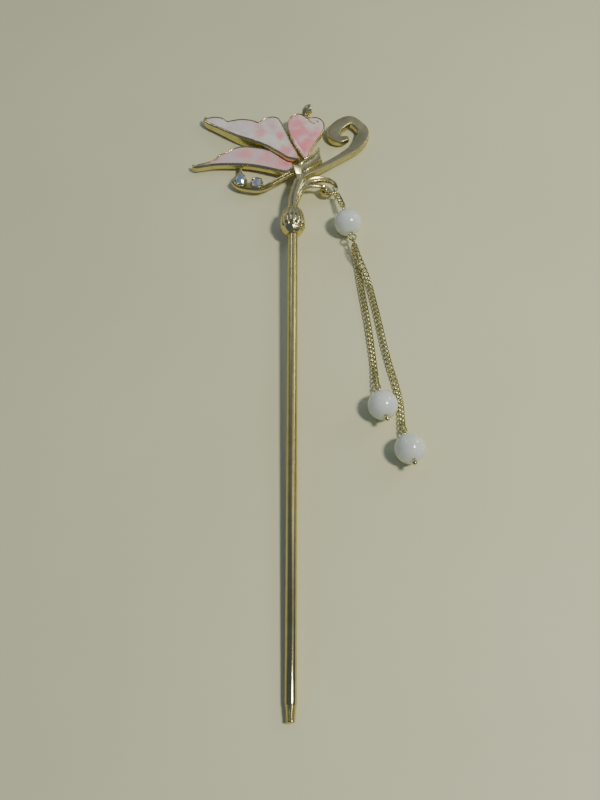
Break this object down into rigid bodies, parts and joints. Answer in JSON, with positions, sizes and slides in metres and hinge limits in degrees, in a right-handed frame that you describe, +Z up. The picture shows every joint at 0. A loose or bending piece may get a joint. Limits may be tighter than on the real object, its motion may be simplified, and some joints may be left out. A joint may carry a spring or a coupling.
{
  "type": "buyao hairpin",
  "caption": "Metal hair stick with an enamelled butterfly head, glued cut stones and a hanging drop of curb chains with round beads.",
  "frame": {"origin": "on the surface that the hairpin lies on, under the middle of its bounding box", "axes": "+Y along the stick from the blunt tip to the butterfly, +Z up from the surface, +X to the side on which the drop hangs"},
  "size_m": [0.0655, 0.1814, 0.0084],
  "materials": {
    "gold_metal": "pale champagne plating, polished with a soft cast texture",
    "wing_enamel": "glossy cold enamel, milky white with pink patches",
    "cut_stone": "faceted foil-backed glass with a rainbow coating",
    "bead_stone": "polished, milky and slightly translucent"
  },
  "bodies": {
    "root": {"stick": "gold_metal", "collar": "gold_metal", "butterfly_frame": "gold_metal", "forewing_enamel": "wing_enamel", "hindwing_enamel": "wing_enamel", "heart_wing_enamel": "wing_enamel", "drop_stone": "cut_stone", "round_stone": "cut_stone", "hook_ring": "gold_metal", "connector_chain": "gold_metal", "upper_bead": "bead_stone", "eye_pin": "gold_metal", "spreader_ring": "gold_metal", "left_chain": "gold_metal", "right_chain": "gold_metal", "left_bead": "bead_stone", "right_bead": "bead_stone", "left_head_pin": "gold_metal", "right_head_pin": "gold_metal"}
  },
  "joints": []
}
